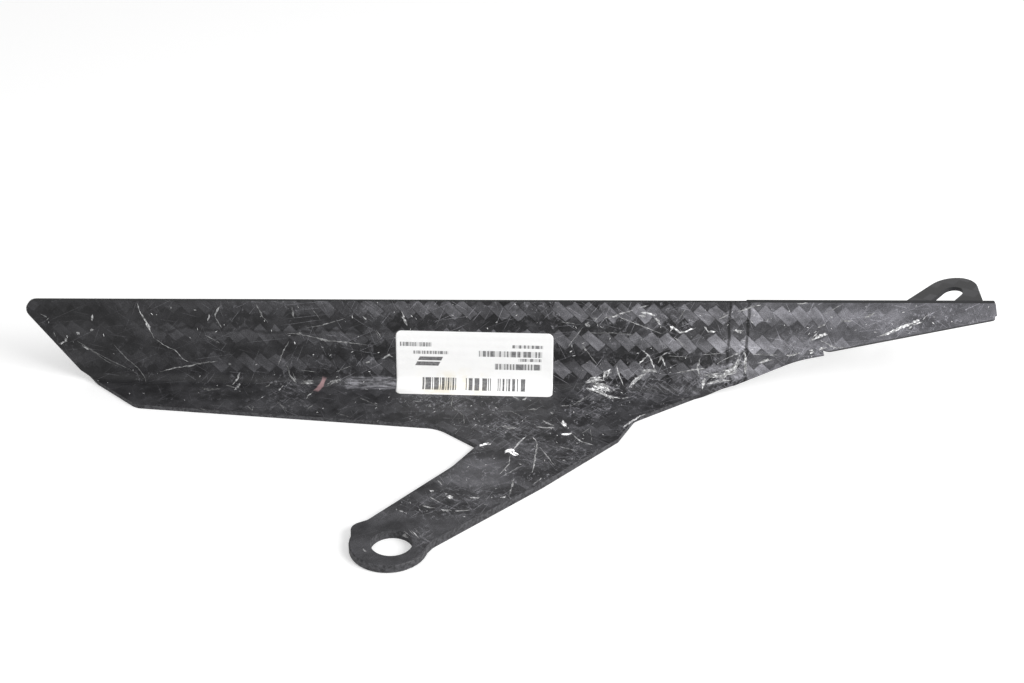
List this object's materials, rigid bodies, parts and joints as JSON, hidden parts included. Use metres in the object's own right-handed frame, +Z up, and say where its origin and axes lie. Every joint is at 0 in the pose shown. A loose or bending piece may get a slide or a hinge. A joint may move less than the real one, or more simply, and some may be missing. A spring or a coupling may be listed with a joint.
{
  "type": "motorcycle chain guard",
  "caption": "Moulded carbon laminate chain guard: a long raked wall on a flat flange, with an arm ending in a mounting eyelet and a slotted tab at the narrow end.",
  "frame": {"origin": "centre of the eyelet's hole on the flange's seating face", "axes": "+X along the guard to its narrow end, +Y from the eyelet to the wall, +Z up along the eyelet's hole, away from the seating face"},
  "size_m": [0.3301, 0.14, 0.0368],
  "materials": {
    "carbon_laminate": "hand-laid twill carbon in resin, rough and scuffed inside, clear and glossy outside",
    "label_paper": "satin paper sticker, lightly stained"
  },
  "bodies": {
    "root": {"guard_shell": "carbon_laminate", "label": "label_paper"}
  },
  "joints": []
}
